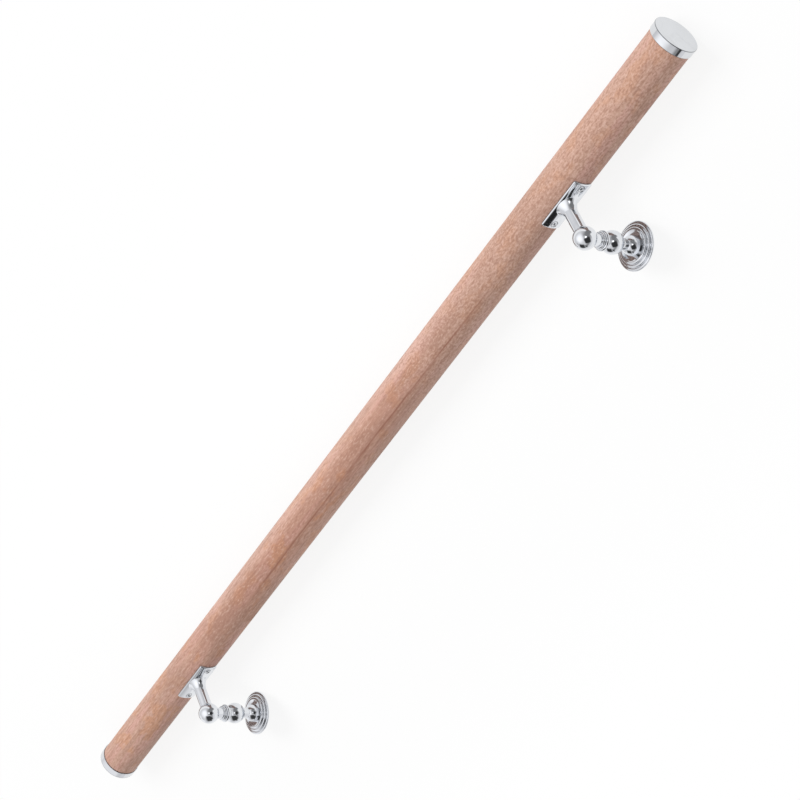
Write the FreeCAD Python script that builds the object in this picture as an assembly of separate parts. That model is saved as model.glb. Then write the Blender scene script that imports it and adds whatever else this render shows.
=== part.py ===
import FreeCAD, Part
import math
import os

from FreeCAD import Vector

# Round wooden handrail with a plated cup on each end and two wall brackets below.
#
# The pieces are drawn as the rail hangs on a wall: X runs along the rail,
# Y points at the wall and Z points up from the brackets to the rail.
# At the end they are rolled about the rail to the pose in which the length
# lies unheld on a floor. All sizes are in millimetres and degrees.

# Rail and end cups
overall_length = 1200.0
rail_diameter = 45.0
rail_end_chamfer = 1.0
cup_wall = 0.7
cup_floor = 0.9
cup_depth = 8.8
cup_rim_round = 0.3
cup_edge_round = 0.6
cup_clearance = 0.3

# Brackets on the rail
bracket_inset = 202.0
stem_drop = 66.4
wall_distance = 67.0

# Saddle plate under the rail
saddle_length = 60.0
saddle_angle = 56.0
saddle_thickness = 2.2
saddle_corner_radius = 2.0
saddle_edge_round = 1.4
saddle_clearance = 0.3
screw_edge_distance = 6.0
screw_hole_diameter = 4.5
screw_head_diameter = 8.4

# Arm that flares out onto the saddle and ends in the corner ball
arm_diameter = 13.8
foot_height = 16.0
foot_screw_gap = 3.8
foot_half_width = 10.4
foot_inset = 0.4
foot_flare_power = 3
foot_section_count = 6
ball_diameter = 24.0
ball_flat_diameter = 1.2

# Turned collar beside the corner ball
neck_diameter = 13.0
neck_length = 4.6
small_ring_diameter = 17.2
small_ring_width = 3.4
large_ring_diameter = 20.6
large_ring_width = 3.6

# Turned stem between collar and wall
stem_ball_diameter = 24.0
stem_ball_distance = 35.2
groove_diameter = 14.8
stem_neck_diameter = 11.6
boss_diameter = 20.4
boss_height = 16.4

# Stepped wall rose, dished round the boss and hollow behind
rose_diameter = 50.0
rose_rim_thickness = 2.0
rose_step_count = 3
rose_step_width = 3.3
rose_step_rise = 1.8
rose_step_round = 1.0
rose_dish_depth = 1.2
rose_dish_sag_share = 0.25
rose_back_depth = 2.4
rose_back_wall = 9.0
rose_back_hub_diameter = 18.0
stud_hole_diameter = 6.8
stud_hole_depth = 22.0

# Overrun of a cutting shape past the face that it opens
cut_overrun = 1.0

# How closely an edge's length is matched when it is picked for rounding
length_tolerance = 0.001

# Sizes that follow from the ones above
rail_radius = rail_diameter / 2
cup_inner_radius = rail_radius + cup_clearance
cup_outer_radius = cup_inner_radius + cup_wall
wood_length = overall_length - 2 * (cup_floor + cup_clearance)
saddle_inner_radius = rail_radius + saddle_clearance
saddle_outer_radius = saddle_inner_radius + saddle_thickness
screw_offset = saddle_length / 2 - screw_edge_distance
ball_radius = ball_diameter / 2
collar_start = ball_radius + neck_length
collar_end = collar_start + small_ring_width + large_ring_width
rose_radius = rose_diameter / 2
bracket_stations = {
    "lower": bracket_inset - overall_length / 2,
    "upper": overall_length / 2 - bracket_inset,
}

along_rail = Vector(1, 0, 0)
to_wall = Vector(0, 1, 0)
upward = Vector(0, 0, 1)
origin = Vector(0, 0, 0)


def line(start, end):
    """Straight profile edge between two (distance along the axis, radius) pairs."""
    return Part.makeLine(Vector(*start), Vector(*end))


def arc(start, middle, end):
    """Round profile edge through three (distance along the axis, radius) pairs."""
    return Part.Arc(Vector(*start), Vector(*middle), Vector(*end)).toShape()


def quarter_round(centre, radius, start_angle):
    """Rounded profile corner that turns a right angle clockwise from start_angle."""
    angles = [math.radians(start_angle - step) for step in (0, 45, 90)]
    return arc(*[
        (centre[0] + radius * math.cos(angle), centre[1] + radius * math.sin(angle))
        for angle in angles
    ])


def ball_arc(centre, radius, start, end):
    """Part of a ball's outline, between two distances along the axis it sits on."""
    first = math.acos((centre - start) / radius)
    last = math.acos((centre - end) / radius)
    return arc(*[
        (centre - radius * math.cos(angle), radius * math.sin(angle))
        for angle in (first, (first + last) / 2, last)
    ])


def half_chord(radius, ring_radius):
    """Distance from a ball's centre to the circle of the given radius on the ball."""
    return math.sqrt(radius ** 2 - ring_radius ** 2)


def turned(edges):
    """Solid turned about the X axis from the edges of a closed profile."""
    return Part.Face(Part.Wire(edges)).revolve(origin, along_rail, 360)


def turned_stem(edges):
    """Solid turned from a profile and swung round so that its axis points at the wall."""
    solid = turned(edges)
    solid.rotate(origin, upward, 90)
    return solid


def rail_solid():
    """Straight round wooden rail with a small chamfer at both ends."""
    end = wood_length / 2
    full = end - rail_end_chamfer
    tip = rail_radius - rail_end_chamfer
    return turned([
        line((-end, 0), (-end, tip)),
        line((-end, tip), (-full, rail_radius)),
        line((-full, rail_radius), (full, rail_radius)),
        line((full, rail_radius), (end, tip)),
        line((end, tip), (end, 0)),
        line((end, 0), (-end, 0)),
    ])


def end_cup():
    """Plated cup over the upper end of the rail, with its corner and lip rounded."""
    closed = overall_length / 2
    floor = closed - cup_floor
    lip = closed - cup_depth
    corner = (closed - cup_edge_round, cup_outer_radius - cup_edge_round)
    rim = (lip + cup_rim_round, cup_outer_radius - cup_rim_round)
    return turned([
        line((floor, 0), (floor, cup_inner_radius)),
        line((floor, cup_inner_radius), (lip, cup_inner_radius)),
        line((lip, cup_inner_radius), (lip, rim[1])),
        quarter_round(rim, cup_rim_round, 180),
        line((rim[0], cup_outer_radius), (corner[0], cup_outer_radius)),
        quarter_round(corner, cup_edge_round, 90),
        line((closed, corner[1]), (closed, 0)),
        line((closed, 0), (floor, 0)),
    ])


def saddle_arc(radius):
    """Arc round the rail's underside on the saddle's end face, with its seam far from it."""
    circle = Part.Circle(Vector(-saddle_length / 2, 0, 0), along_rail, radius)
    half = math.radians(saddle_angle / 2)
    return circle.toShape(math.pi - half, math.pi + half)


def on_saddle_front(edge):
    """Whether an edge of the saddle lies on its outer surface, away from the rail."""
    middle = edge.valueAt((edge.FirstParameter + edge.LastParameter) / 2)
    points = [middle] + [vertex.Point for vertex in edge.Vertexes]
    gaps = [abs(math.hypot(point.y, point.z) - saddle_outer_radius) for point in points]
    return max(gaps) < length_tolerance


def saddle_plate():
    """Curved plate that fits the rail's underside, its corners and front edges rounded."""
    inner = saddle_arc(saddle_inner_radius)
    outer = saddle_arc(saddle_outer_radius)
    sides = [
        Part.makeLine(inner.Vertexes[index].Point, outer.Vertexes[index].Point)
        for index in (0, 1)
    ]
    outline = Part.sortEdges([inner, outer] + sides)[0]
    plate = Part.Face(Part.Wire(outline)).extrude(along_rail * saddle_length)
    corners = [
        edge for edge in plate.Edges
        if abs(edge.Length - saddle_thickness) < length_tolerance
    ]
    plate = plate.makeFillet(saddle_corner_radius, corners)
    return plate.makeFillet(saddle_edge_round, list(filter(on_saddle_front, plate.Edges)))


def flared_foot():
    """Trumpet foot that spreads from the round arm to a long oval on the saddle."""
    start_radius = arm_diameter / 2 - foot_inset
    half_length = screw_offset - screw_head_diameter / 2 - foot_screw_gap
    foot_bottom = -(saddle_outer_radius + foot_height)
    rise = -rail_radius - foot_bottom
    start = Part.Circle(Vector(0, 0, foot_bottom), upward, start_radius)
    sections = [Part.Wire(start.toShape())]
    for index in range(1, foot_section_count):
        share = index / (foot_section_count - 1)
        spread = share ** foot_flare_power
        long_radius = start_radius + (half_length - start_radius) * spread
        short_radius = start_radius + (foot_half_width - start_radius) * spread
        centre = Vector(0, 0, foot_bottom + rise * share)
        sections.append(Part.Wire(Part.Ellipse(centre, long_radius, short_radius).toShape()))
    return Part.makeLoft(sections, True)


def screw_cutter(offset):
    """Cutting shape of a countersunk screw hole, at an offset along the saddle."""
    hole_radius = screw_hole_diameter / 2
    head_radius = screw_head_diameter / 2
    surface = Vector(offset, 0, -saddle_outer_radius)
    outside = surface - upward * cut_overrun
    shank = Part.makeCylinder(hole_radius, saddle_thickness + 2 * cut_overrun, outside, upward)
    sink = Part.makeCone(head_radius, hole_radius, head_radius - hole_radius, surface, upward)
    mouth = Part.makeCylinder(head_radius, cut_overrun, outside, upward)
    return shank.fuse(sink).fuse(mouth)


def ball_and_collar():
    """Corner ball, neck and two rounded rings turned in one, ending in a flat seat."""
    neck = neck_diameter / 2
    small = small_ring_diameter / 2
    large = large_ring_diameter / 2
    flat = ball_flat_diameter / 2
    valley = (neck + small) / 2
    ring_split = collar_start + small_ring_width
    ball_start = -half_chord(ball_radius, flat)
    ball_end = half_chord(ball_radius, neck)
    small_top = (collar_start + small_ring_width / 2, small)
    large_top = (ring_split + large_ring_width / 2, large)
    return turned_stem([
        line((ball_start, 0), (ball_start, flat)),
        ball_arc(0, ball_radius, ball_start, ball_end),
        line((ball_end, neck), (collar_start, neck)),
        arc((collar_start, neck), small_top, (ring_split, valley)),
        arc((ring_split, valley), large_top, (collar_end, valley)),
        line((collar_end, valley), (collar_end, 0)),
        line((collar_end, 0), (ball_start, 0)),
    ])


def bracket_arm():
    """Saddle, flared arm, corner ball and collar as one casting."""
    corner = Vector(0, 0, -stem_drop)
    arm = Part.makeCylinder(arm_diameter / 2, stem_drop - rail_radius, corner, upward)
    ball = ball_and_collar()
    ball.translate(corner)
    casting = saddle_plate().multiFuse([flared_foot(), arm, ball])
    rail_start = Vector(-saddle_length, 0, 0)
    rail_room = Part.makeCylinder(saddle_inner_radius, 2 * saddle_length, rail_start, along_rail)
    casting = casting.cut(rail_room)
    for side in (-1, 1):
        casting = casting.cut(screw_cutter(side * screw_offset))
    return casting


def rose_dish(start_radius, floor, rim_radius, top):
    """Hollow curve of the rose's front, from the boss up to its innermost step."""
    sag_radius = (start_radius + rim_radius) / 2
    sag_height = floor + (top - floor) * rose_dish_sag_share
    return arc(
        (wall_distance - floor, start_radius),
        (wall_distance - sag_height, sag_radius),
        (wall_distance - top, rim_radius),
    )


def rose_steps(start_radius, height):
    """Rounded steps of the rose's front, from its dish out and down to the wall."""
    edges = []
    last = rose_step_count - 1
    for index in range(rose_step_count):
        front = wall_distance - height
        outer = rose_radius - (last - index) * rose_step_width
        drop = rose_step_rise if index < last else height
        bend = (front + rose_step_round, outer - rose_step_round)
        foot = (front + drop, outer)
        edges.append(line((front, start_radius), (front, bend[1])))
        edges.append(quarter_round(bend, rose_step_round, 180))
        edges.append(line((bend[0], outer), foot))
        start_radius = outer
        height = height - drop
    return edges


def wall_mount():
    """Stem ball, neck, boss and stepped rose turned as one piece, hollow behind."""
    groove = groove_diameter / 2
    stem_ball = stem_ball_diameter / 2
    neck = stem_neck_diameter / 2
    boss = boss_diameter / 2
    ball_start = stem_ball_distance - half_chord(stem_ball, groove)
    ball_end = stem_ball_distance + half_chord(stem_ball, neck)
    boss_centre = wall_distance - (boss_height - boss)
    boss_start = boss_centre - half_chord(boss, neck)
    top = rose_rim_thickness + (rose_step_count - 1) * rose_step_rise
    dish_floor = top - rose_dish_depth
    boss_end = wall_distance - dish_floor
    dish_start = half_chord(boss, boss_end - boss_centre)
    innermost_step = rose_radius - (rose_step_count - 1) * rose_step_width
    dish_rim = innermost_step - rose_step_round - rose_step_width / 2
    body = turned_stem([
        line((collar_end, 0), (collar_end, groove)),
        line((collar_end, groove), (ball_start, groove)),
        ball_arc(stem_ball_distance, stem_ball, ball_start, ball_end),
        line((ball_end, neck), (boss_start, neck)),
        ball_arc(boss_centre, boss, boss_start, boss_end),
        rose_dish(dish_start, dish_floor, dish_rim, top),
        *rose_steps(dish_rim, top),
        line((wall_distance, rose_radius), (wall_distance, 0)),
        line((wall_distance, 0), (collar_end, 0)),
    ])
    back = to_wall * wall_distance
    hollow = Part.makeCylinder(rose_radius - rose_back_wall, rose_back_depth, back, -to_wall)
    hub = Part.makeCylinder(rose_back_hub_diameter / 2, rose_back_depth, back, -to_wall)
    stud_hole = Part.makeCylinder(stud_hole_diameter / 2, stud_hole_depth, back, -to_wall)
    body = body.cut(hollow.cut(hub)).cut(stud_hole)
    body.translate(Vector(0, 0, -stem_drop))
    return body


def resting_roll():
    """Roll about the rail at which cups and rose rims both touch the floor."""
    rim_z = rose_radius - stem_drop
    reach = math.hypot(wall_distance, rim_z)
    towards_rim = math.degrees(math.atan2(rim_z, wall_distance))
    floor_normal = towards_rim + math.degrees(math.acos(cup_outer_radius / reach))
    return -90 - floor_normal


def resting_place(roll):
    """Position of the rail's middle that puts the origin on the floor, centred."""
    angle = math.radians(roll)
    across = [cup_outer_radius, -cup_outer_radius]
    for rim_z in (rose_radius - stem_drop, -rose_radius - stem_drop):
        across.append(wall_distance * math.cos(angle) - rim_z * math.sin(angle))
    across.append(stem_drop * math.sin(angle) - ball_radius)
    middle = (max(across) + min(across)) / 2
    return Vector(0, -middle, cup_outer_radius)


def at_rest(shape):
    """Copy of a shape rolled and moved from the wall to its pose on the floor."""
    roll = resting_roll()
    placed = shape.copy()
    placed.rotate(origin, along_rail, roll)
    placed.translate(resting_place(roll))
    return placed


def main():
    """Build every sub-part and write each one to its own STEP file."""
    upper_cup = end_cup()
    pieces = {
        "rail": rail_solid(),
        "upper_end_cup": upper_cup,
        "lower_end_cup": upper_cup.mirror(origin, along_rail),
    }
    for name, station in bracket_stations.items():
        arm = bracket_arm()
        arm.translate(along_rail * station)
        pieces[name + "_bracket_arm"] = arm
        mount = wall_mount()
        mount.translate(along_rail * station)
        pieces[name + "_wall_rose"] = mount
    os.makedirs("parts", exist_ok=True)
    for name, shape in pieces.items():
        at_rest(shape).exportStep("parts/" + name + ".step")


main()
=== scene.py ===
import logging
import math
from dataclasses import dataclass, field
from enum import Enum
from typing import ClassVar

import bpy
import numpy as np
from mathutils import Euler, Matrix, Vector


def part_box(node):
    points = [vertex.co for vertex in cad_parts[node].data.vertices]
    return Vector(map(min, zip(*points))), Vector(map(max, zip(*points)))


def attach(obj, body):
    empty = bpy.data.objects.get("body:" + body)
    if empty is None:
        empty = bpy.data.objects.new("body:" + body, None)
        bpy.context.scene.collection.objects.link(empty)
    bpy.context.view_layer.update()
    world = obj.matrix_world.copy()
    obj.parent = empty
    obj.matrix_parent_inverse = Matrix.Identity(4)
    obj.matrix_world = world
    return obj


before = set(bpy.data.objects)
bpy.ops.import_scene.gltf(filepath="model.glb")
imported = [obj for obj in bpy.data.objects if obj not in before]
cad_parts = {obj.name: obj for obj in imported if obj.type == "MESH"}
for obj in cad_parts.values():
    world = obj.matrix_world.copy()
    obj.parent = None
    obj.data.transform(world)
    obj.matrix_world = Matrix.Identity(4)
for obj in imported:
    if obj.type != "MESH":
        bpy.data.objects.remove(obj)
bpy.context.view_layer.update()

# Looks of a round hardwood handrail with bright plated cups and wall brackets.
#
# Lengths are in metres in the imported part's frame: X runs along the rail and Z
# points up from the floor. The part lies rolled about the rail, so the mounts'
# directions on the wall are turned into this frame by RESTING_ROLL.

LOG = logging.getLogger("handrail")

RAIL_RADIUS = 0.0225
CUP_OUTER_RADIUS = 0.0235
SADDLE_OUTER_RADIUS = 0.025
SADDLE_LENGTH = 0.060
SCREW_EDGE_DISTANCE = 0.006
STEM_DROP = 0.0664
WALL_DISTANCE = 0.067
BRACKET_STATION = 0.398
RESTING_ROLL = math.radians(-130.927)


class Side(Enum):
    """End of the rail that a piece belongs to, with its sign along X."""

    LOWER = -1
    UPPER = 1

    @property
    def label(self) -> str:
        """Word that starts the names of this end's pieces."""
        return self.name.lower()


def rail_centre() -> Vector:
    """Point on the rail's axis at the middle of its length.

    Returns:
        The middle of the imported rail's box, which is round and straight.
    """
    low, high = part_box("rail")
    return (low + high) / 2


def wall_to_floor(point: Vector) -> Vector:
    """Turns a point given as the rail hangs on a wall into the resting frame.

    Args:
        point: place in metres from the rail's middle, with Y to the wall, Z up.

    Returns:
        The same place on the part as it lies on the floor.
    """
    return Matrix.Rotation(RESTING_ROLL, 3, "X") @ point + rail_centre()


# Meshes from arrays


def grid_mesh(name: str, points: np.ndarray, caps: bool = False) -> bpy.types.Object:
    """Makes a smooth mesh from a grid of points that closes on itself round its columns.

    Args:
        name: name of the object and of its mesh.
        points: array of rows x columns x 3, in metres.
        caps: whether the rows close too, so that the last one meets the first.

    Returns:
        The linked object, at the origin, with its faces pointing outwards.
    """
    rows, columns = points.shape[:2]
    index = np.arange(rows * columns).reshape(rows, columns)
    below = index if caps else index[:-1]
    above = np.roll(index, -1, axis=0) if caps else index[1:]
    quads = np.stack(
        [below, np.roll(below, -1, axis=1), np.roll(above, -1, axis=1), above], axis=-1
    ).reshape(-1, 4)
    mesh = bpy.data.meshes.new(name)
    mesh.from_pydata(points.reshape(-1, 3), [], quads)
    mesh.validate()
    mesh.update()
    mesh.shade_smooth()
    made = bpy.data.objects.new(name, mesh)
    bpy.context.scene.collection.objects.link(made)
    return made


def place_on_axis(points: np.ndarray, base: Vector, direction: Vector) -> np.ndarray:
    """Moves points drawn round the Z axis onto another axis.

    Each point becomes base + x * side + y * across + z * direction, where side
    runs along the rail and across completes the right-handed frame.

    Args:
        points: array whose last axis holds x, y and z.
        base: where the drawn origin goes.
        direction: unit vector that the drawn Z axis follows.

    Returns:
        The moved points, in an array of the same shape.
    """
    side = Vector((1.0, 0.0, 0.0))
    across = direction.cross(side)
    turn = np.array([side, across, direction])
    return points @ turn + np.array(base)


# Materials


class NodeGraph:
    """Short way to add and join nodes in a material's or a group's tree."""

    def __init__(self, tree: bpy.types.NodeTree) -> None:
        """Keeps the tree that the nodes go into."""
        self.tree = tree

    def add(self, kind: str, inputs: dict | None = None, **settings: object) -> bpy.types.Node:
        """Adds a node and fills its inputs.

        Args:
            kind: Blender's type name of the node, without its leading ShaderNode.
            inputs: socket names or numbers, each with a value or a socket to join.
            settings: attributes to set on the node itself.

        Returns:
            The new node.
        """
        node = self.tree.nodes.new("ShaderNode" + kind)
        for name, value in settings.items():
            setattr(node, name, value)
        for name, value in (inputs or {}).items():
            if isinstance(value, bpy.types.NodeSocket):
                self.tree.links.new(value, node.inputs[name])
            else:
                node.inputs[name].default_value = value
        return node

    def math(self, operation: str, *values: object, clamp: bool = False) -> bpy.types.NodeSocket:
        """Adds a Math node.

        Args:
            operation: its operation, such as MULTIPLY.
            values: its inputs in order, as numbers or sockets.
            clamp: whether the result is kept between 0 and 1.

        Returns:
            The socket with the result.
        """
        node = self.add("Math", dict(enumerate(values)), operation=operation, use_clamp=clamp)
        return node.outputs[0]

    def from_rail_centre(self, place: bpy.types.NodeSocket) -> bpy.types.NodeSocket:
        """Measures Object coordinates from the rail's middle.

        Args:
            place: socket with the Object coordinates.

        Returns:
            The socket with the moved coordinates.
        """
        return self.add("Mapping", {"Vector": place, "Location": -rail_centre()}).outputs[0]

    def noise(self, place: bpy.types.NodeSocket, scale: float, **inputs: float) -> bpy.types.NodeSocket:
        """Adds a Noise Texture.

        Args:
            place: socket with the coordinates.
            scale: its scale.
            inputs: other inputs, such as Detail.

        Returns:
            The socket with the noise, from 0 to 1.
        """
        filled = {"Vector": place, "Scale": scale}
        filled.update(inputs)
        return self.add("TexNoise", filled).outputs["Fac"]

    def stretched(self, place: bpy.types.NodeSocket, along: float, across: float) -> bpy.types.NodeSocket:
        """Scales coordinates by one factor along the rail and another across it.

        Args:
            place: socket with the coordinates.
            along: factor for X.
            across: factor for Y and Z.

        Returns:
            The socket with the scaled coordinates.
        """
        inputs = {"Vector": place, "Scale": (along, across, across)}
        return self.add("Mapping", inputs).outputs[0]

    def range(self, value: bpy.types.NodeSocket, low: float, high: float) -> bpy.types.NodeSocket:
        """Maps a value smoothly to 0 at low and 1 at high.

        Args:
            value: socket with the value.
            low: value that becomes 0.
            high: value that becomes 1.

        Returns:
            The socket with the mapped value.
        """
        inputs = {"Value": value, "From Min": low, "From Max": high}
        node = self.add("MapRange", inputs, interpolation_type="SMOOTHSTEP")
        return node.outputs[0]

    def band(self, value: bpy.types.NodeSocket, half: float, softness: float) -> bpy.types.NodeSocket:
        """Masks the values near 0.

        Args:
            value: socket with the value.
            half: distance from 0 at which the mask is a half.
            softness: width over which the mask fades.

        Returns:
            The socket with the mask, which is 1 near 0.
        """
        return self.range(self.math("ABSOLUTE", value), half + softness / 2, half - softness / 2)

    def finish(self, look: bpy.types.NodeSocket) -> None:
        """Joins a shader to the material's surface.

        Args:
            look: socket with the shader.
        """
        self.tree.links.new(look, self.tree.nodes["Material Output"].inputs["Surface"])

    def mix(self, share: object, first: object, second: object, blend: str = "MIX") -> bpy.types.NodeSocket:
        """Mixes two colours.

        Args:
            share: how much of the second colour there is, as a number or socket.
            first: colour or socket at 0.
            second: colour or socket at 1.
            blend: how the colours are mixed.

        Returns:
            The socket with the mixed colour.
        """
        inputs = {"Factor": share, 6: first, 7: second}
        node = self.add("Mix", inputs, data_type="RGBA", blend_type=blend)
        return node.outputs[2]


def new_group(name: str, inputs: dict[str, float], outputs: dict[str, str]) -> tuple[bpy.types.NodeTree, NodeGraph, dict]:
    """Makes an empty shader node group with named sockets.

    Args:
        name: name of the group.
        inputs: float inputs with their defaults; a Vector input is always added.
        outputs: output names with their socket types.

    Returns:
        The group, its graph, and its inner input sockets by name.
    """
    group = bpy.data.node_groups.new(name, "ShaderNodeTree")
    group.interface.new_socket("Vector", in_out="INPUT", socket_type="NodeSocketVector")
    for socket, value in inputs.items():
        made = group.interface.new_socket(socket, in_out="INPUT", socket_type="NodeSocketFloat")
        made.default_value = value
    for socket, kind in outputs.items():
        group.interface.new_socket(socket, in_out="OUTPUT", socket_type=kind)
    source = group.nodes.new("NodeGroupInput")
    return group, NodeGraph(group), {s.name: s for s in source.outputs}


class HandlingMarks:
    """Group shared by the plated finishes: faint smears, specks of dust and fine rubbing."""

    NAME = "handling_marks"

    @classmethod
    def group(cls) -> bpy.types.NodeTree:
        """Builds the group once.

        Returns:
            The group, whose Smear, Dust and Ripple outputs run from 0 to 1.
        """
        if cls.NAME in bpy.data.node_groups:
            return bpy.data.node_groups[cls.NAME]
        group, graph, source = new_group(
            cls.NAME,
            {"Smear Scale": 60.0, "Dust Scale": 900.0, "Ripple Scale": 180.0},
            {"Smear": "NodeSocketFloat", "Dust": "NodeSocketFloat", "Ripple": "NodeSocketFloat"},
        )
        place = source["Vector"]
        smear = graph.add(
            "TexNoise",
            {"Vector": place, "Scale": source["Smear Scale"], "Detail": 5.0, "Distortion": 1.2},
        ).outputs["Fac"]
        speck = graph.add("TexVoronoi", {"Vector": place, "Scale": source["Dust Scale"]}).outputs["Distance"]
        thin = graph.add("TexNoise", {"Vector": place, "Scale": source["Smear Scale"], "Detail": 2.0}).outputs["Fac"]
        near = graph.math("SUBTRACT", 1.0, graph.range(speck, 0.03, 0.12))
        ripple = graph.add(
            "TexNoise", {"Vector": place, "Scale": source["Ripple Scale"], "Detail": 1.0}
        ).outputs["Fac"]
        target = group.nodes.new("NodeGroupOutput")
        group.links.new(graph.range(smear, 0.46, 0.72), target.inputs["Smear"])
        group.links.new(graph.math("MULTIPLY", near, graph.range(thin, 0.55, 0.7)), target.inputs["Dust"])
        group.links.new(ripple, target.inputs["Ripple"])
        return group


@dataclass(frozen=True)
class PlatedFinish:
    """Bright plated metal, polished, with faint smears and the soft waviness of the casting.

    Args:
        name: name of the material.
        tone: linear colour of the plate.
        roughness: roughness of the clean plate.
        smear_roughness: what a smear adds to the roughness.
        ripple_height: depth of the surface's waviness in metres.
        ripple_scale: fineness of the waviness.
    """

    name: str
    tone: tuple[float, float, float] = (0.782, 0.80, 0.828)
    roughness: float = 0.045
    smear_roughness: float = 0.05
    ripple_height: float = 0.00002
    ripple_scale: float = 90.0

    def tint(self, graph: NodeGraph, colour: bpy.types.NodeSocket) -> bpy.types.NodeSocket:
        """Leaves the colour as it is; a finish that paints shade or a dark reflection into places changes it."""
        return colour

    def relief(self, graph: NodeGraph, place: bpy.types.NodeSocket, ripple: bpy.types.NodeSocket) -> bpy.types.NodeSocket:
        """Height of the surface's fine relief in metres.

        Args:
            graph: graph of the material.
            place: Object coordinates.
            ripple: noise of the waviness, from 0 to 1.

        Returns:
            The socket with the height.
        """
        return graph.math("MULTIPLY", ripple, self.ripple_height)

    def build(self) -> bpy.types.Material:
        """Builds the material.

        Returns:
            The material, with its colour, roughness and bump from nodes.
        """
        material = bpy.data.materials.new(self.name)
        material.use_nodes = True
        tree = material.node_tree
        graph = NodeGraph(tree)
        shader = tree.nodes["Principled BSDF"]
        shader.inputs["Metallic"].default_value = 1.0
        place = graph.add("TexCoord").outputs["Object"]
        marks = graph.add("Group", node_tree=HandlingMarks.group())
        tree.links.new(place, marks.inputs["Vector"])
        marks.inputs["Ripple Scale"].default_value = self.ripple_scale
        smear, dust, ripple = marks.outputs["Smear"], marks.outputs["Dust"], marks.outputs["Ripple"]
        clean = (*self.tone, 1.0)
        dulled = tuple(0.94 * part for part in self.tone) + (1.0,)
        dusty = (0.62, 0.60, 0.57, 1.0)
        colour = graph.mix(smear, clean, dulled)
        colour = graph.mix(graph.math("MULTIPLY", dust, 0.35), colour, dusty)
        rough = graph.math("MULTIPLY_ADD", smear, self.smear_roughness, self.roughness)
        rough = graph.math("MULTIPLY_ADD", dust, 0.25, rough)
        colour = self.tint(graph, colour)
        height = self.relief(graph, place, ripple)
        bump = graph.add("Bump", {"Height": height, "Strength": 1.0, "Distance": 1.0}).outputs[0]
        tree.links.new(colour, shader.inputs["Base Color"])
        tree.links.new(rough, shader.inputs["Roughness"])
        tree.links.new(bump, shader.inputs["Normal"])
        return material


@dataclass(frozen=True)
class ScrewFinish(PlatedFinish):
    """Plated finish that carries painted shade in a screw's cross and below its rim.

    Args:
        painted_shade_tone: linear colour of the painted shade on the metal.
    """

    SHADE: ClassVar[str] = "shade"
    painted_shade_tone: tuple[float, float, float, float] = (0.05, 0.05, 0.055, 1.0)

    def tint(self, graph: NodeGraph, colour: bpy.types.NodeSocket) -> bpy.types.NodeSocket:
        """Paints shade into the colour where the piece's own attribute says so.

        Args:
            graph: graph of the material.
            colour: socket with the clean colour.

        Returns:
            The socket with the darkened colour.
        """
        shade = graph.add("Attribute", attribute_name=self.SHADE).outputs["Fac"]
        # Painted shade: the attribute sets how far the dark tone covers the plate.
        return graph.mix(graph.math("MULTIPLY", shade, 0.9), colour, self.painted_shade_tone)


@dataclass(frozen=True)
class CupFinish(PlatedFinish):
    """Plated finish with a thin painted dark line, a painted reflection of the turned corner at the cup's closed
    end.

    Args:
        line_inset: how far the line's middle lies in from the closed end.
        line_half: half the width of the line.
        line_shade: how far the painted line's tone covers the plate.
        painted_line_tone: linear colour of the painted line.
    """

    line_inset: float = 0.00052
    line_half: float = 0.0004
    line_shade: float = 0.7
    painted_line_tone: tuple[float, float, float, float] = (0.12, 0.125, 0.135, 1.0)

    def tint(self, graph: NodeGraph, colour: bpy.types.NodeSocket) -> bpy.types.NodeSocket:
        """Paints the dark line into the colour.

        Args:
            graph: graph of the material.
            colour: socket with the clean colour.

        Returns:
            The socket with the darkened colour.
        """
        low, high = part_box("upper_end_cup")
        place = graph.from_rail_centre(graph.add("TexCoord").outputs["Object"])
        along = graph.math("ABSOLUTE", graph.add("SeparateXYZ", {0: place}).outputs["X"])
        away = graph.math("SUBTRACT", along, high.x - self.line_inset)
        # Painted reflection: a dark band standing in for the turned corner's dark reflection.
        line = graph.band(away, self.line_half, 0.0002)
        return graph.mix(graph.math("MULTIPLY", line, self.line_shade), colour, self.painted_line_tone)


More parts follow.
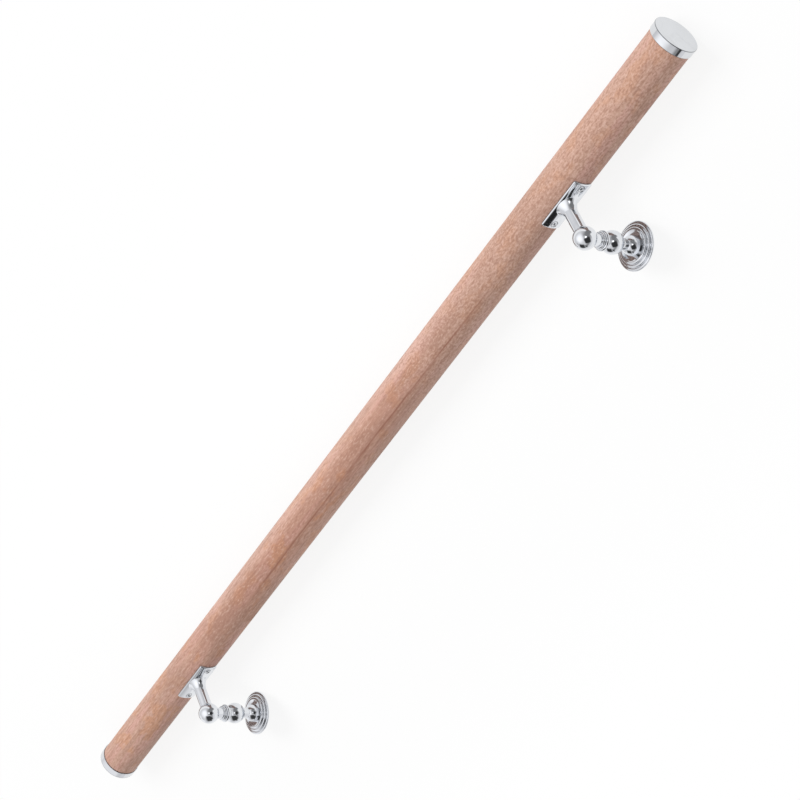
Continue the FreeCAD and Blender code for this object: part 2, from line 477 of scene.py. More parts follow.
@dataclass(frozen=True)
class RoseFinish(PlatedFinish):
    """Plated finish whose stepped rings are turned faintly crowned, not flat.

    Args:
        outer_radius: radius of the rose.
        step_width: width of each of its steps.
        step_count: how many steps it has.
        step_round: rounding of each step's outer corner.
        crown: how far the middle of a step's face stands proud.
    """

    outer_radius: float = 0.025
    step_width: float = 0.0033
    step_count: int = 3
    step_round: float = 0.001
    crown: float = 0.00013

    def relief(self, graph: NodeGraph, place: bpy.types.NodeSocket, ripple: bpy.types.NodeSocket) -> bpy.types.NodeSocket:
        """Height of the waviness and the crowned rings in metres.

        Within a step, t runs from 0 at the end of its corner's rounding to 1
        at the foot of the next step, and the crown is 4 t (1 - t) high.

        Args:
            graph: graph of the material.
            place: Object coordinates.
            ripple: noise of the waviness, from 0 to 1.

        Returns:
            The socket with the height.
        """
        turned = graph.add(
            "Mapping", {"Vector": graph.from_rail_centre(place), "Rotation": (-RESTING_ROLL, 0.0, 0.0)}
        ).outputs[0]
        parts = graph.add("SeparateXYZ", {0: turned}).outputs
        along = graph.math("SUBTRACT", graph.math("ABSOLUTE", parts["X"]), BRACKET_STATION)
        above = graph.math("ADD", parts["Z"], STEM_DROP)
        squares = graph.math("ADD", graph.math("MULTIPLY", along, along), graph.math("MULTIPLY", above, above))
        steps_in = graph.math("SUBTRACT", self.outer_radius, graph.math("SQRT", squares))
        steps_in = graph.math("DIVIDE", steps_in, self.step_width)
        start = self.step_round / self.step_width
        t = graph.math("SUBTRACT", graph.math("FRACT", steps_in), start)
        t = graph.math("DIVIDE", t, 1.0 - start, clamp=True)
        bow = graph.math("MULTIPLY", t, graph.math("SUBTRACT", 1.0, t))
        on_steps = graph.math("LESS_THAN", steps_in, float(self.step_count))
        near_wall = graph.math("GREATER_THAN", parts["Y"], WALL_DISTANCE - 0.0065)
        shown = graph.math("MULTIPLY", on_steps, near_wall)
        crown = graph.math("MULTIPLY", graph.math("MULTIPLY", bow, shown), 4.0 * self.crown)
        return graph.math("ADD", super().relief(graph, place, ripple), crown)


@dataclass(frozen=True)
class WoodFinish:
    """Pinkish brown hardwood, sanded and sealed matt, with its grain along the rail.

    Args:
        name: name of the material.
        ground: linear colour of the wood between its markings.
        rosy: linear colour of the pinker bands.
        amber: linear colour of the warmer bands.
        fleck: linear colour of the short dark flecks.
        ray: linear colour of the short pale flecks, also used for the pale bands beside the long line, the lit one
            painted light.
        streak: linear colour of the long dark line.
        streak_angle: where the line runs round the rail, from the wall side
            towards the top, in degrees.
        streak_span: distances along the rail between which the line shows.
        growth_place: how far the middle of the darker growth lies beside the line.
        upper_span: distances along the rail between which its upper part sets in.
        paler: what the colours are multiplied by towards the rail's ends.
        redder: what they are multiplied by along its middle.
        redder_place: how far the redder stretch's middle lies towards the lower end.
        redder_half: half the stretch's length.
        redder_fade: distance over which it fades.
        lip_shade: how much painted shade darkens the wood in the gap under the cups' lips.
        mirrored: linear colour of the painted reflection, the darker and greyer wood that the bright metal mirrors.
        painted_reflection_share: how far the painted reflection covers the wood there.
    """

    name: str
    ground: tuple[float, float, float, float] = (0.525, 0.315, 0.243, 1.0)
    rosy: tuple[float, float, float, float] = (0.560, 0.318, 0.262, 1.0)
    amber: tuple[float, float, float, float] = (0.540, 0.285, 0.185, 1.0)
    fleck: tuple[float, float, float, float] = (0.330, 0.170, 0.120, 1.0)
    ray: tuple[float, float, float, float] = (0.700, 0.480, 0.395, 1.0)
    streak: tuple[float, float, float, float] = (0.300, 0.130, 0.085, 1.0)
    streak_angle: float = 239.0
    streak_span: tuple[float, float] = (-0.30, 0.34)
    growth_place: float = 0.0105
    upper_span: tuple[float, float] = (0.02, 0.16)
    paler: tuple[float, float, float, float] = (1.035, 1.06, 1.06, 1.0)
    redder: tuple[float, float, float, float] = (0.985, 0.945, 0.92, 1.0)
    redder_place: float = 0.12
    redder_half: float = 0.25
    redder_fade: float = 0.15
    lip_shade: float = 0.75
    mirrored: tuple[float, float, float, float] = (0.25, 0.24, 0.245, 1.0)
    painted_reflection_share: float = 0.6

    def build(self) -> bpy.types.Material:
        """Builds the material.

        Returns:
            The material: bands cut lengthways, fibres, short dark and pale
            flecks and one long line, with the relief that they leave.
        """
        material = bpy.data.materials.new(self.name)
        material.use_nodes = True
        tree = material.node_tree
        graph = NodeGraph(tree)
        shader = tree.nodes["Principled BSDF"]
        shader.inputs["Specular IOR Level"].default_value = 0.3
        place = graph.from_rail_centre(graph.add("TexCoord").outputs["Object"])
        fibre = graph.noise(graph.stretched(place, 20.0, 430.0), 1.0, Detail=3.0)
        flecks = self.flecks(graph, place)
        tone = self.beside_line(graph, place, self.bands(graph, place))
        tone = graph.mix(graph.math("MULTIPLY", graph.range(fibre, 0.45, 0.70), 0.42), tone, self.fleck)
        dark = graph.math("MULTIPLY", graph.range(flecks, 0.50, 0.32), 0.55)
        tone = graph.mix(dark, tone, self.fleck)
        pale = graph.math("MULTIPLY", graph.range(flecks, 0.52, 0.70), 0.45)
        tone = graph.mix(pale, tone, self.ray)
        tone = graph.mix(self.long_line(graph, place, fibre), tone, self.streak)
        # Painted shade in the gap under the cups' lips.
        tone = graph.mix(self.under_lips(graph, place), tone, (0.06, 0.045, 0.04, 1.0))
        # Painted reflection: where the bright metal mirrors the wood, it turns darker and greyer.
        painted_reflection_mask = graph.math("MULTIPLY", graph.add("LightPath").outputs["Is Glossy Ray"], self.painted_reflection_share)
        tone = graph.mix(painted_reflection_mask, tone, self.mirrored)
        height = graph.math("MULTIPLY_ADD", dark, -1.2, graph.math("MULTIPLY", fibre, 0.5))
        bump = graph.add("Bump", {"Height": height, "Strength": 0.5, "Distance": 0.00014}).outputs[0]
        rough = graph.math("MULTIPLY_ADD", fibre, 0.14, 0.50)
        tree.links.new(tone, shader.inputs["Base Color"])
        tree.links.new(rough, shader.inputs["Roughness"])
        tree.links.new(bump, shader.inputs["Normal"])
        return material

    def flecks(self, graph: NodeGraph, place: bpy.types.NodeSocket) -> bpy.types.NodeSocket:
        """Noise of the flecks, which get shorter and a little stronger towards the upper end.

        Args:
            graph: graph of the material.
            place: coordinates from the rail's middle.

        Returns:
            The socket with the noise, dark below a half and pale above it.
        """
        long = graph.noise(graph.stretched(place, 165.0, 540.0), 1.0, Detail=2.5, Roughness=0.6)
        short = graph.noise(graph.stretched(place, 300.0, 560.0), 1.0, Detail=2.0, Roughness=0.6)
        short = graph.math("MULTIPLY_ADD", short, 1.25, -0.125)
        return graph.math("MULTIPLY_ADD", self.upper_part(graph, place), graph.math("SUBTRACT", short, long), long)

    def upper_part(self, graph: NodeGraph, place: bpy.types.NodeSocket) -> bpy.types.NodeSocket:
        """Mask of the rail's upper part, where the flecks are short and the wood is paler and pinker.

        Args:
            graph: graph of the material.
            place: coordinates from the rail's middle.

        Returns:
            The socket with the mask.
        """
        along = graph.add("SeparateXYZ", {0: place}).outputs["X"]
        return graph.range(along, *self.upper_span)

    def bands(self, graph: NodeGraph, place: bpy.types.NodeSocket) -> bpy.types.NodeSocket:
        """Soft rosy and amber bands and clouds that drift along the rail.

        Args:
            graph: graph of the material.
            place: coordinates from the rail's middle.

        Returns:
            The socket with the colour.
        """
        bands = graph.noise(graph.stretched(place, 4.0, 75.0), 1.0, Detail=3.0, Distortion=0.4)
        clouds = graph.noise(graph.stretched(place, 34.0, 70.0), 1.0, Detail=2.0)
        shade = graph.noise(graph.stretched(place, 9.0, 30.0), 1.0, Detail=2.0)
        tone = graph.mix(graph.math("MULTIPLY", graph.range(bands, 0.44, 0.60), 0.95), self.ground, self.rosy)
        upper = self.upper_part(graph, place)
        warmth = graph.math("MULTIPLY_ADD", upper, -0.40, 0.95)
        tone = graph.mix(graph.math("MULTIPLY", graph.range(clouds, 0.49, 0.62), warmth), tone, self.amber)
        deep = tuple(0.80 * part for part in self.ground[:3]) + (1.0,)
        depth = graph.math("MULTIPLY_ADD", upper, -0.30, 0.75)
        tone = graph.mix(graph.math("MULTIPLY", graph.range(shade, 0.46, 0.66), depth), tone, deep)
        return graph.mix(1.0, tone, self.drift(graph, place), "MULTIPLY")

    def drift(self, graph: NodeGraph, place: bpy.types.NodeSocket) -> bpy.types.NodeSocket:
        """Colour that the wood is multiplied by, redder along its middle and paler at its ends.

        Args:
            graph: graph of the material.
            place: coordinates from the rail's middle.

        Returns:
            The socket with the colour.
        """
        along = graph.add("SeparateXYZ", {0: place}).outputs["X"]
        middle = graph.band(graph.math("ADD", along, self.redder_place), self.redder_half, self.redder_fade)
        return graph.mix(middle, self.paler, self.redder)

    def long_line(
        self, graph: NodeGraph, place: bpy.types.NodeSocket, fibre: bpy.types.NodeSocket
    ) -> bpy.types.NodeSocket:
        """Mask of the one long dark line, which wanders a little and breaks up in the fibres.

        The coordinates are turned until Z points at the line; the line is where
        Y, moved by slow noise, is near 0 on the upper side and X is in its span.

        Args:
            graph: graph of the material.
            place: coordinates from the rail's middle.
            fibre: noise of the fibres.

        Returns:
            The socket with the mask.
        """
        parts = self.turned_to_line(graph, place)
        sway = graph.noise(graph.stretched(place, 3.2, 3.0), 1.0, Detail=2.0)
        across = graph.math("MULTIPLY_ADD", sway, 0.008, graph.math("ADD", parts["Y"], -0.004))
        offset = graph.math("ABSOLUTE", across)
        core = graph.math("MULTIPLY", graph.range(offset, 0.0016, 0.0), 0.62)
        halo = graph.math("MULTIPLY", graph.range(offset, 0.0060, 0.0005), 0.30)
        line = graph.math("ADD", core, halo)
        low, high = self.streak_span
        start = graph.range(parts["X"], low, low + 0.12)
        stop = graph.range(parts["X"], high, high - 0.16)
        front = graph.range(parts["Z"], 0.0, 0.010)
        broken = graph.math("MULTIPLY_ADD", graph.range(fibre, 0.30, 0.62), 0.65, 0.35)
        shown = graph.math("MULTIPLY", graph.math("MULTIPLY", start, stop), graph.math("MULTIPLY", front, broken))
        return graph.math("MULTIPLY", line, shown)

    def turned_to_line(self, graph: NodeGraph, place: bpy.types.NodeSocket) -> bpy.types.NodeOutputs:
        """Coordinates turned about the rail until Z points at the long line.

        Args:
            graph: graph of the material.
            place: coordinates from the rail's middle.

        Returns:
            The sockets with the turned X, Y and Z.
        """
        spin = math.radians(90.0 - self.streak_angle) - RESTING_ROLL
        turned = graph.add("Mapping", {"Vector": place, "Rotation": (spin, 0.0, 0.0)}).outputs[0]
        return graph.add("SeparateXYZ", {0: turned}).outputs

    def beside_line(
        self, graph: NodeGraph, place: bpy.types.NodeSocket, tone: bpy.types.NodeSocket
    ) -> bpy.types.NodeSocket:
        """Darker growth beside the long line, paler wood further round on the lit side, which is painted light, and
        a fainter pale band on the other side.

        With the coordinates turned to the line, each of the three is a range
        of Y, and all of them fade out where the line does.

        Args:
            graph: graph of the material.
            place: coordinates from the rail's middle.
            tone: socket with the colour before.

        Returns:
            The socket with the colour after.
        """
        parts = self.turned_to_line(graph, place)
        low, high = self.streak_span
        start = graph.range(parts["X"], low - 0.08, low + 0.04)
        span = graph.math("MULTIPLY", start, graph.range(parts["X"], high, high - 0.22))
        beside = graph.band(graph.math("SUBTRACT", parts["Y"], self.growth_place), 0.005, 0.007)
        # Painted light: the stronger pale band, at Y from 0.0145 to 0.0225, lies on the key lamp's side of the rail.
        pale = graph.math(
            "MAXIMUM",
            graph.math("MULTIPLY", graph.range(parts["Y"], 0.0145, 0.0225), 0.42),
            graph.math("MULTIPLY", graph.range(parts["Y"], -0.006, -0.013), 0.20),
        )
        tone = graph.mix(graph.math("MULTIPLY", graph.math("MULTIPLY", beside, 0.24), span), tone, self.streak)
        return graph.mix(graph.math("MULTIPLY", pale, span), tone, self.ray)

    def under_lips(self, graph: NodeGraph, place: bpy.types.NodeSocket) -> bpy.types.NodeSocket:
        """Mask of the painted shade in the narrow gap where the wood goes in under a cup's lip.

        Args:
            graph: graph of the material.
            place: coordinates from the rail's middle.

        Returns:
            The socket with the mask.
        """
        low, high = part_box("upper_end_cup")
        parts = graph.add("SeparateXYZ", {0: place})
        along = graph.math("ABSOLUTE", parts.outputs["X"])
        return graph.math("MULTIPLY", graph.range(along, low.x - 0.0011, low.x - 0.0003), self.lip_shade)


# Sub-assemblies


def dress(node: str, material: bpy.types.Material) -> None:
    """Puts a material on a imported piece.

    Args:
        node: name of the piece.
        material: material that fills each of its slots.
    """
    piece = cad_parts[node]
    for slot in piece.material_slots:
        slot.material = material
    LOG.info("dressed %s with %s", node, material.name)


@dataclass
class WoodenRail:
    """The straight round length of hardwood."""

    finish: WoodFinish = field(default_factory=lambda: WoodFinish("sealed_pink_hardwood"))

    def build(self) -> None:
        """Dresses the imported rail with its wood."""
        dress("rail", self.finish.build())


@dataclass
class EndCups:
    """The two plated cups over the rail's ends."""

    finish: CupFinish = field(
        default_factory=lambda: CupFinish(
            "cup_bright_plate", tone=(0.705, 0.72, 0.742), roughness=0.04, ripple_height=0.00001
        )
    )

    def build(self) -> None:
        """Dresses both cups."""
        material = self.finish.build()
        for side in Side:
            dress(side.label + "_end_cup", material)


@dataclass
class BracketArms:
    """The saddles, flared arms, corner balls and collars."""

    finish: PlatedFinish = field(default_factory=lambda: PlatedFinish("bracket_bright_plate"))

    def build(self) -> None:
        """Dresses both arms."""
        material = self.finish.build()
        for side in Side:
            dress(side.label + "_bracket_arm", material)


@dataclass
class SaddleScrews:
    """Countersunk screws that hold the saddles to the rail, two to a bracket.

    Args:
        head_radius: radius of the head at its rim.
        head_dome: how far the head's middle rises above its rim.
        head_sink: how far the rim lies below the saddle's surface.
        cone_depth: height of the countersunk cone.
        shank_radius: radius below the cone.
        length: length from the rim to the point.
        recess_radius: how far the cross's arms reach.
        recess_half_width: half the width of an arm of the cross.
        recess_depth: depth of the cross in the middle.
        cross_shade: how dark the cross's painted shade is, where 1 is as dark as the rim's.
        clean_share: share of the head's radius inside which it has no painted shade.
        turns: how far each screw in order is turned, in degrees.
    """

    head_radius: float = 0.00355
    head_dome: float = 0.0005
    head_sink: float = 0.0006
    cone_depth: float = 0.0018
    shank_radius: float = 0.0017
    length: float = 0.016
    recess_radius: float = 0.0021
    recess_half_width: float = 0.00052
    recess_depth: float = 0.0013
    cross_shade: float = 0.6
    clean_share: float = 0.72
    turns: tuple[float, ...] = (18.0, 63.0, 41.0, 7.0)
    finish: ScrewFinish = field(
        default_factory=lambda: ScrewFinish("screw_bright_plate", roughness=0.12, ripple_scale=500.0)
    )

    def profile(self) -> tuple[np.ndarray, np.ndarray, int]:
        """Half outline of the screw from the middle of its head to its point.

        The head rises as dome * (1 - (r / R)^2) over the rim, the cone falls
        in a straight line and the shank tapers to a point over its last third.

        Returns:
            Radii, heights above the rim, and how many of them are on the head.
        """
        head = np.linspace(0.0, 1.0, 30) ** 0.8 * self.head_radius
        head[0] = 1e-6
        dome = self.head_dome * (1.0 - (head / self.head_radius) ** 2)
        lower_r = np.array([self.head_radius, self.shank_radius, self.shank_radius, self.shank_radius * 0.6, 1e-6])
        lower_z = -np.array([0.0002, self.cone_depth, self.length * 0.66, self.length * 0.85, self.length])
        return np.concatenate([head, lower_r]), np.concatenate([dome, lower_z]), len(head)

    def points(self, turn: float) -> tuple[np.ndarray, np.ndarray]:
        """Grid of points of one screw round the Z axis, and how much painted shade each point carries.

        Within the head the height is lowered by depth * arm * fade, where arm
        is 1 inside either bar of the cross and falls to 0 over a tenth of a
        millimetre, and fade falls from 1 at the middle to 0 at the recess
        radius.

        Args:
            turn: angle of the cross in radians.

        Returns:
            Array of rows x columns x 3, and an array of rows x columns of painted shade that
            is 1 on and below the rim, less in the cross and 0 on the open head.
        """
        radii, heights, on_head = self.profile()
        angle = np.linspace(0.0, 2.0 * np.pi, 96, endpoint=False)
        r, a = np.meshgrid(radii, angle, indexing="ij")
        z = np.repeat(heights[:, None], angle.size, axis=1)
        x, y = r * np.cos(a), r * np.sin(a)
        u = x * math.cos(turn) + y * math.sin(turn)
        v = y * math.cos(turn) - x * math.sin(turn)
        edge = 0.00012
        bar = np.minimum(np.abs(u), np.abs(v))
        arm = np.clip((self.recess_half_width + edge - bar) / edge, 0.0, 1.0)
        fade = np.clip((self.recess_radius - r) / (0.35 * self.recess_radius), 0.0, 1.0)
        sunk = self.recess_depth * arm * fade * (1.0 - 0.45 * np.clip(r / self.recess_radius, 0.0, 1.0))
        z[:on_head] -= sunk[:on_head]
        # Painted shade: darker in the cross's recess and in a ring towards the rim, full on and below the rim.
        cross = self.cross_shade * np.clip(sunk / (0.4 * self.recess_depth), 0.0, 1.0)
        ring = np.clip((r / self.head_radius - self.clean_share) / (1.0 - self.clean_share), 0.0, 1.0)
        shade = np.maximum(cross, ring)
        shade[on_head - 1:] = 1.0
        return np.stack([x, y, z], axis=-1)[::-1], shade[::-1]

    def build(self) -> None:
        """Makes the four screws and lets them ride on the part."""
        material = self.finish.build()
        outward = (wall_to_floor(Vector((0, 0, -1))) - rail_centre()).normalized()
        offset = SADDLE_LENGTH / 2 - SCREW_EDGE_DISTANCE
        turns = iter(self.turns)
        for side in Side:
            for place, shift in (("near", -offset), ("far", offset)):
                x = side.value * BRACKET_STATION + shift
                rim = SADDLE_OUTER_RADIUS - self.head_sink
                base = wall_to_floor(Vector((x, 0.0, -rim)))
                grid, shade = self.points(math.radians(next(turns)))
                screw = grid_mesh(f"{side.label}_{place}_saddle_screw", place_on_axis(grid, base, outward))
                # The attribute carries the screw's painted shade.
                painted_shade_layer = screw.data.attributes.new(ScrewFinish.SHADE, "FLOAT", "POINT")
                painted_shade_layer.data.foreach_set("value", shade.ravel())
                screw.data.materials.append(material)
                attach(screw, "root")
                LOG.info("made %s", screw.name)


@dataclass
class WallRoses:
    """The turned stems with their stepped roses, and the thread inside each stud hole.

    Args:
        bore_radius: radius of the stud hole.
        thread_depth: how far the ridge stands in from the hole's wall.
        pitch: distance between turns of the thread.
        thread_length: how deep the thread goes.
        wall: thickness of the sleeve that carries the ridge.
    """

    bore_radius: float = 0.0034
    thread_depth: float = 0.00035
    pitch: float = 0.00125
    thread_length: float = 0.0205
    wall: float = 0.00004
    finish: RoseFinish = field(default_factory=lambda: RoseFinish("rose_bright_plate", roughness=0.07))
    thread_finish: PlatedFinish = field(
        default_factory=lambda: PlatedFinish("cut_thread_metal", tone=(0.52, 0.47, 0.36), roughness=0.22)
    )

    def thread_points(self) -> np.ndarray:
        """Grid of points of a threaded sleeve round the Z axis.

        The inner radius is bore - wall - depth * w, where w is a triangle wave
        of (z / pitch - angle / full turn), flattened at its crest and root and
        faded out at both ends, and the outer radius is bore - wall / 2.

        Returns:
            Array of rows x columns x 3 that closes both ways.
        """
        z = np.linspace(0.0003, self.thread_length, 260)
        angle = np.linspace(0.0, 2.0 * np.pi, 72, endpoint=False)
        depth, a = np.meshgrid(z, angle, indexing="ij")
        phase = (depth / self.pitch - a / (2.0 * np.pi)) % 1.0
        wave = np.clip(1.5 * (1.0 - np.abs(2.0 * phase - 1.0)) - 0.25, 0.0, 1.0)
        ends = np.clip(np.minimum(depth - z[0], z[-1] - depth) / self.pitch, 0.0, 1.0)
        inner = self.bore_radius - self.wall - self.thread_depth * wave * ends
        outer = np.full_like(inner, self.bore_radius - self.wall / 2)
        radius = np.concatenate([inner, outer[::-1]])
        depth = np.concatenate([depth, depth[::-1]])
        a = np.concatenate([a, a])
        return np.stack([radius * np.cos(a), radius * np.sin(a), depth], axis=-1)

    def build(self) -> None:
        """Dresses both roses and threads their stud holes."""
        material = self.finish.build()
        thread_metal = self.thread_finish.build()
        inward = (wall_to_floor(Vector((0, -1, 0))) - rail_centre()).normalized()
        for side in Side:
            dress(side.label + "_wall_rose", material)
            base = wall_to_floor(Vector((side.value * BRACKET_STATION, WALL_DISTANCE, -STEM_DROP)))
            grid = place_on_axis(self.thread_points(), base, inward)
            thread = grid_mesh(side.label + "_stud_thread", grid, caps=True)
            thread.data.materials.append(thread_metal)
            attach(thread, "root")
            LOG.info("made %s", thread.name)


# Studio


@dataclass(frozen=True)
class Lamp:
    """A soft lamp that shines on one point.

    Args:
        name: name of the lamp.
        place: where it stands.
        size: its width and height.
        power: its power in watts.
        aim: point that it shines on.
    """

    name: str
    place: tuple[float, float, float]
    size: tuple[float, float]
    power: float
    aim: tuple[float, float, float] = (0.0, 0.0, 0.03)

    def build(self) -> bpy.types.Object:
        """Makes the lamp.

        Returns:
            The lamp's object.
        """
        light = bpy.data.lights.new(self.name, "AREA")
        light.shape = "RECTANGLE"
        light.size, light.size_y = self.size
        light.energy = self.power
        made = bpy.data.objects.new(self.name, light)
        made.location = self.place
        towards = Vector(self.aim) - Vector(self.place)
        made.rotation_euler = towards.to_track_quat("-Z", "Y").to_euler()
        made.visible_glossy = False
        bpy.context.scene.collection.objects.link(made)
        return made


def cool_grey(level: float) -> tuple[float, float, float, float]:
    """Faintly blue grey of a brightness, as an opaque colour."""
    return (level, level, 1.02 * level, 1.0)


def glowing_material(name: str) -> tuple[bpy.types.Material, NodeGraph]:
    """Makes a material for a part of the stage that glows by itself.

    Args:
        name: name of the material.

    Returns:
        The material, which isn't sampled as a lamp, and its graph.
    """
    material = bpy.data.materials.new(name)
    material.use_nodes = True
    material.cycles.emission_sampling = "NONE"
    return material, NodeGraph(material.node_tree)


def flat_mesh(name: str, corners: np.ndarray) -> bpy.types.Object:
    """Makes one flat face for the stage.

    Args:
        name: name of the object and of its mesh.
        corners: its corners in order round it, as rows of x, y and z.

    Returns:
        The linked object.
    """
    mesh = bpy.data.meshes.new(name)
    mesh.from_pydata(corners.tolist(), [], [tuple(range(len(corners)))])
    made = bpy.data.objects.new(name, mesh)
    bpy.context.scene.collection.objects.link(made)
    return made


def only_mirrored(thing: bpy.types.Object) -> None:
    """Makes a piece of the stage show in the bright metal alone.

    Args:
        thing: the piece of the stage.
    """
    thing.visible_camera = False
    thing.visible_diffuse = False
    thing.visible_shadow = False
    thing.visible_transmission = False


@dataclass(frozen=True)
class TentPatch:
    """A lighter or darker part of the tent that the bright metal mirrors.

    Args:
        azimuth: direction of its middle in degrees, from X towards Y.
        elevation: height of its middle above the floor's horizon, in degrees.
        half_width: half its width in degrees of azimuth.
        half_height: half its height in degrees.
        softness: width of its soft edge in degrees.
        level: brightness, where 1 is white.
    """

    azimuth: float
    elevation: float
    half_width: float
    half_height: float
    softness: float
    level: float

    def mask(self, graph: NodeGraph, direction: bpy.types.NodeSocket) -> bpy.types.NodeSocket:
        """Adds the patch's mask to the tent's material.

        The direction is turned about Z until the patch's middle has no
        azimuth; the patch is where both angles are within its half sizes.

        Args:
            graph: graph of the material.
            direction: unit vector from the part to the tent.

        Returns:
            The socket with the mask.
        """
        spin = (0.0, 0.0, math.radians(-self.azimuth))
        turned = graph.add("Mapping", {"Vector": direction, "Rotation": spin}).outputs[0]
        parts = graph.add("SeparateXYZ", {0: turned}).outputs
        across = graph.math("ARCTAN2", parts["Y"], parts["X"])
        rise = graph.math("SUBTRACT", graph.math("ARCSINE", parts["Z"]), math.radians(self.elevation))
        half_width, half_height = math.radians(self.half_width), math.radians(self.half_height)
        soft = math.radians(self.softness)
        wide = graph.band(across, half_width, soft)
        return graph.math("MULTIPLY", wide, graph.band(rise, half_height, soft))


@dataclass
class LightTent:
    """Large tent of pale and dim cloth round the part, which only mirrored rays meet.

    Args:
        radius: radius of the tent.
        ground: brightness of its plain cloth.
        patches: its lighter and darker parts, each over the ones before it.
    """

    radius: float = 6.0
    ground: float = 0.76
    patches: tuple[TentPatch, ...] = (
        TentPatch(-62.0, 35.0, 66.0, 11.0, 16.0, 0.31),
        TentPatch(-95.0, 7.0, 52.0, 7.0, 8.0, 0.84),
        TentPatch(4.0, 32.0, 37.0, 38.0, 54.0, 0.23),
        TentPatch(13.0, 48.0, 14.0, 9.0, 14.0, 0.62),
        TentPatch(-1.0, 45.0, 8.0, 7.0, 4.0, 2.2),
        TentPatch(168.0, 27.0, 9.0, 5.0, 7.0, 0.42),
        TentPatch(-120.5, 25.0, 4.3, 12.5, 2.5, 0.02),
        TentPatch(-110.7, 27.0, 2.2, 6.0, 3.0, 0.05),
    )

    def points(self) -> np.ndarray:
        """Grid of points of the tent: a half ball that stands on the floor.

        A point is radius * (cos e cos a, cos e sin a, sin e) for elevation e
        and azimuth a.

        Returns:
            Array of rows x columns x 3.
        """
        rise, round_ = np.linspace(0.0, 0.4999 * np.pi, 48), np.linspace(0.0, 2.0 * np.pi, 96, endpoint=False)
        e, a = np.meshgrid(rise, round_, indexing="ij")
        return self.radius * np.stack([np.cos(e) * np.cos(a), np.cos(e) * np.sin(a), np.sin(e)], axis=-1)

    def build(self) -> bpy.types.Object:
        """Makes the tent.

        Returns:
            The tent's object, marked as stage.
        """
        material, graph = glowing_material("tent_cloth")
        place = graph.add("TexCoord").outputs["Object"]
        direction = graph.add("VectorMath", {0: place}, operation="NORMALIZE").outputs[0]
        shade: object = cool_grey(self.ground)
        for patch in self.patches:
            shade = graph.mix(patch.mask(graph, direction), shade, cool_grey(patch.level))
        glow = graph.add("Emission", {"Color": shade})
        graph.finish(glow.outputs[0])
        tent = grid_mesh("light_tent", self.points())
        tent.data.materials.append(material)
        only_mirrored(tent)
        return tent


@dataclass(frozen=True)
class SoftCard:
    """A white or black card with soft edges near the part, which only mirrored rays meet.

    Args:
        name: name of the card.
        azimuth: direction of its middle in degrees, from X towards Y.
        elevation: height of its middle above the floor's horizon, in degrees.
        distance: how far its middle is from the origin, which it faces.
        half_width: half its width.
        half_height: half its height.
        softness: width of its soft edge, half of it outside the half sizes.
        level: brightness, where 1 is white.
    """

    name: str
    azimuth: float
    elevation: float
    distance: float
    half_width: float
    half_height: float
    softness: float
    level: float

    def facing(self) -> Matrix:
        """Turn that takes X to the card's direction, Y across it and Z up it."""
        return Euler((0.0, math.radians(-self.elevation), math.radians(self.azimuth)), "XYZ").to_matrix()

    def points(self) -> np.ndarray:
        """Grid of points of the card.

        A point is the turned (distance, y, z) with y and z spread evenly over
        the half sizes and half the soft edge.

        Returns:
            Array of 2 x 2 x 3.
        """
        wide, high = self.half_width + self.softness / 2, self.half_height + self.softness / 2
        z, y = np.meshgrid([-high, high], [-wide, wide], indexing="ij")
        flat = np.stack([np.full_like(y, self.distance), y, z], axis=-1)
        return flat @ np.array(self.facing()).T

    def build(self) -> bpy.types.Object:
        """Makes the card, which fades out to clear air at its edges.

        Returns:
            The card's object, marked as stage.
        """
        material, graph = glowing_material(self.name + "_card")
        place = graph.add("TexCoord").outputs["Object"]
        spin = tuple(self.facing().inverted().to_euler("XYZ"))
        turned = graph.add("Mapping", {"Vector": place, "Rotation": spin}).outputs[0]
        parts = graph.add("SeparateXYZ", {0: turned}).outputs
        wide = graph.band(parts["Y"], self.half_width, self.softness)
        share = graph.math("MULTIPLY", wide, graph.band(parts["Z"], self.half_height, self.softness))
        glow = graph.add("Emission", {"Color": cool_grey(self.level)})
        air = graph.add("BsdfTransparent")
        look = graph.add("MixShader", {0: share, 1: air.outputs[0], 2: glow.outputs[0]})
        graph.finish(look.outputs[0])
        card = flat_mesh(self.name + "_card", self.points().reshape(-1, 3)[[0, 1, 3, 2]])
        card.data.materials.append(material)
        only_mirrored(card)
        return card


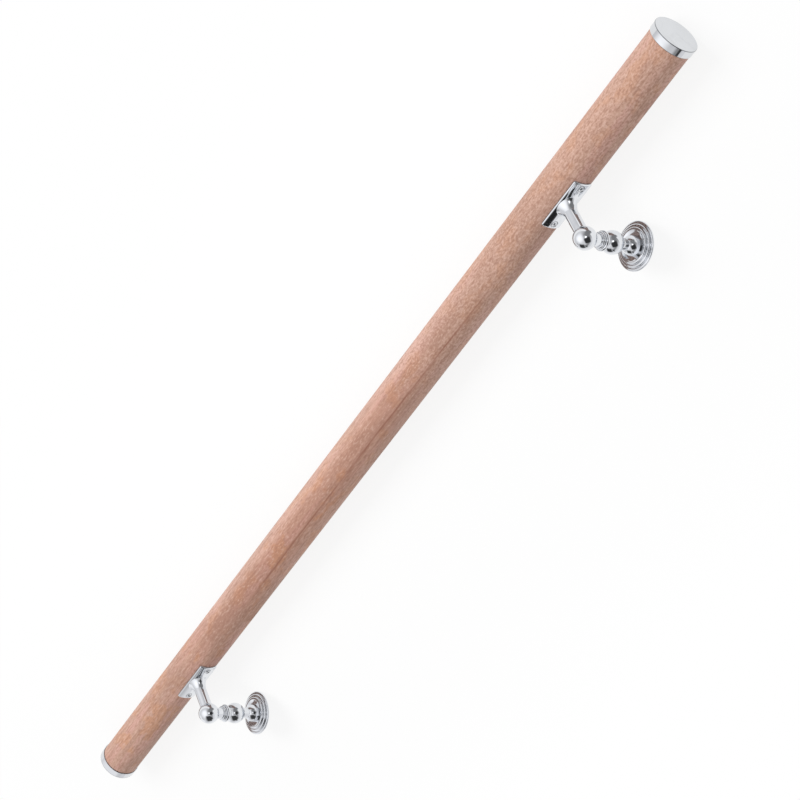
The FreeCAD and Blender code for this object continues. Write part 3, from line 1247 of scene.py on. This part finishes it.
@dataclass
class Studio:
    """Pale floor, pale surroundings, soft lamps and the tent that metal mirrors.

    Args:
        floor_size: length of the floor's sides.
        floor_glow: share of the floor's look that is plain white near the part.
        shadow_reach: distances from the middle, across and along the rail,
            from which the floor turns to plain white.
        shadow_fade: distance over which it does.
        world_level: brightness of the surroundings as a light.
    """

    floor_size: float = 14.0
    floor_glow: float = 0.85
    shadow_reach: tuple[float, float] = (0.11, 0.63)
    shadow_fade: float = 0.28
    world_level: float = 0.64
    lamps: tuple[Lamp, ...] = (Lamp("key_softbox", (0.2, 2.1, 2.0), (1.9, 1.4), 54.0),)
    cards: tuple[SoftCard, ...] = (
        SoftCard("white", 95.6, 56.4, 2.74, 1.54, 1.59, 2.86, 1.3),
        SoftCard("right_black", -32.2, 38.5, 0.98, 0.366, 0.396, 0.24, 0.035),
        SoftCard("left_black", -137.3, 46.5, 0.746, 0.339, 0.365, 0.24, 0.045),
        SoftCard("upper_grey", 1.7, 5.5, 0.52, 0.045, 0.055, 0.03, 0.22),
        SoftCard("lower_grey", 177.0, 10.0, 0.283, 0.045, 0.055, 0.03, 0.22),
        SoftCard("lower_pale", 174.7, 10.5, 0.839, 0.19, 0.14, 0.08, 1.02),
    )

    def build(self) -> None:
        """Builds the whole stage."""
        self.build_world()
        self.build_floor()
        LightTent().build()
        for thing in self.cards + self.lamps:
            thing.build()
        LOG.info("made the studio with %d lamps", len(self.lamps))

    def build_world(self) -> None:
        """White surroundings to the camera and to metal, softer as a light."""
        world = bpy.data.worlds.new("pale_surroundings")
        bpy.context.scene.world = world
        world.use_nodes = True
        graph = NodeGraph(world.node_tree)
        seen = self.seen_directly(graph)
        strength = graph.math("MULTIPLY_ADD", seen, 1.0 - self.world_level, self.world_level)
        background = world.node_tree.nodes["Background"]
        background.inputs["Color"].default_value = (1.0, 1.0, 1.0, 1.0)
        world.node_tree.links.new(strength, background.inputs["Strength"])

    def build_floor(self) -> None:
        """Pale floor that turns white to the camera and keeps a soft shadow."""
        half = self.floor_size / 2
        corners = half * np.array([(-1.0, -1.0, 0.0), (1.0, -1.0, 0.0), (1.0, 1.0, 0.0), (-1.0, 1.0, 0.0)])
        floor = flat_mesh("floor", corners)
        material = bpy.data.materials.new("pale_floor")
        material.use_nodes = True
        graph = NodeGraph(material.node_tree)
        paper = graph.add("BsdfDiffuse", {"Color": (0.95, 0.95, 0.95, 1.0)})
        glow = graph.add("Emission", {"Color": (1.0, 1.0, 1.0, 1.0), "Strength": 1.0})
        parts = graph.add("SeparateXYZ", {0: graph.add("TexCoord").outputs["Object"]}).outputs
        across, along = (graph.math("ABSOLUTE", parts[axis]) for axis in ("Y", "X"))
        aside, beyond = self.shadow_reach
        aside = graph.range(across, aside, aside + self.shadow_fade)
        beyond = graph.range(along, beyond, beyond + self.shadow_fade)
        away = graph.math("MAXIMUM", aside, beyond)
        white = graph.math("MULTIPLY_ADD", away, 1.0 - self.floor_glow, self.floor_glow)
        share = graph.math("MULTIPLY", self.seen_directly(graph), white)
        look = graph.add("MixShader", {0: share, 1: paper.outputs[0], 2: glow.outputs[0]})
        graph.finish(look.outputs[0])
        floor.data.materials.append(material)

    @staticmethod
    def seen_directly(graph: NodeGraph) -> bpy.types.NodeSocket:
        """Mask of rays from the camera, a mirror or glass.

        Args:
            graph: graph of the tree that needs the mask.

        Returns:
            The socket that is 1 for such rays and 0 for others.
        """
        path = graph.add("LightPath")
        mirrored = graph.math("MAXIMUM", path.outputs["Is Glossy Ray"], path.outputs["Is Transmission Ray"])
        return graph.math("MAXIMUM", path.outputs["Is Camera Ray"], mirrored)


@dataclass(frozen=True)
class Viewpoint:
    """Camera at the photograph's viewing angle.

    Args:
        place: where the camera stands.
        turn: its turns about X, Y and Z in degrees.
        lens: focal length in millimetres for a sensor 36 mm wide.
    """

    place: tuple[float, float, float] = (1.44965, -0.00740, 1.95675)
    turn: tuple[float, float, float] = (-28.3814, 21.7821, -57.5623)
    lens: float = 101.688

    def build(self) -> None:
        """Makes the camera and gives it to the scene."""
        data = bpy.data.cameras.new("viewpoint")
        data.lens = self.lens
        data.sensor_width = 36.0
        data.sensor_fit = "HORIZONTAL"
        data.clip_end = 50.0
        camera = bpy.data.objects.new("viewpoint", data)
        camera.location = self.place
        camera.rotation_euler = Euler([math.radians(angle) for angle in self.turn], "XYZ")
        bpy.context.scene.collection.objects.link(camera)
        bpy.context.scene.camera = camera
        LOG.info("placed the camera")


def main() -> None:
    """Builds every sub-assembly, then the studio and the camera."""
    bpy.context.scene.view_settings.view_transform = "Standard"
    for assembly in (WoodenRail(), EndCups(), BracketArms(), SaddleScrews(), WallRoses()):
        assembly.build()
        LOG.info("finished %s", type(assembly).__name__)
    Studio().build()
    Viewpoint().build()


if __name__ == "__main__":
    logging.basicConfig(level=logging.INFO, format="%(name)s: %(message)s")
    main()
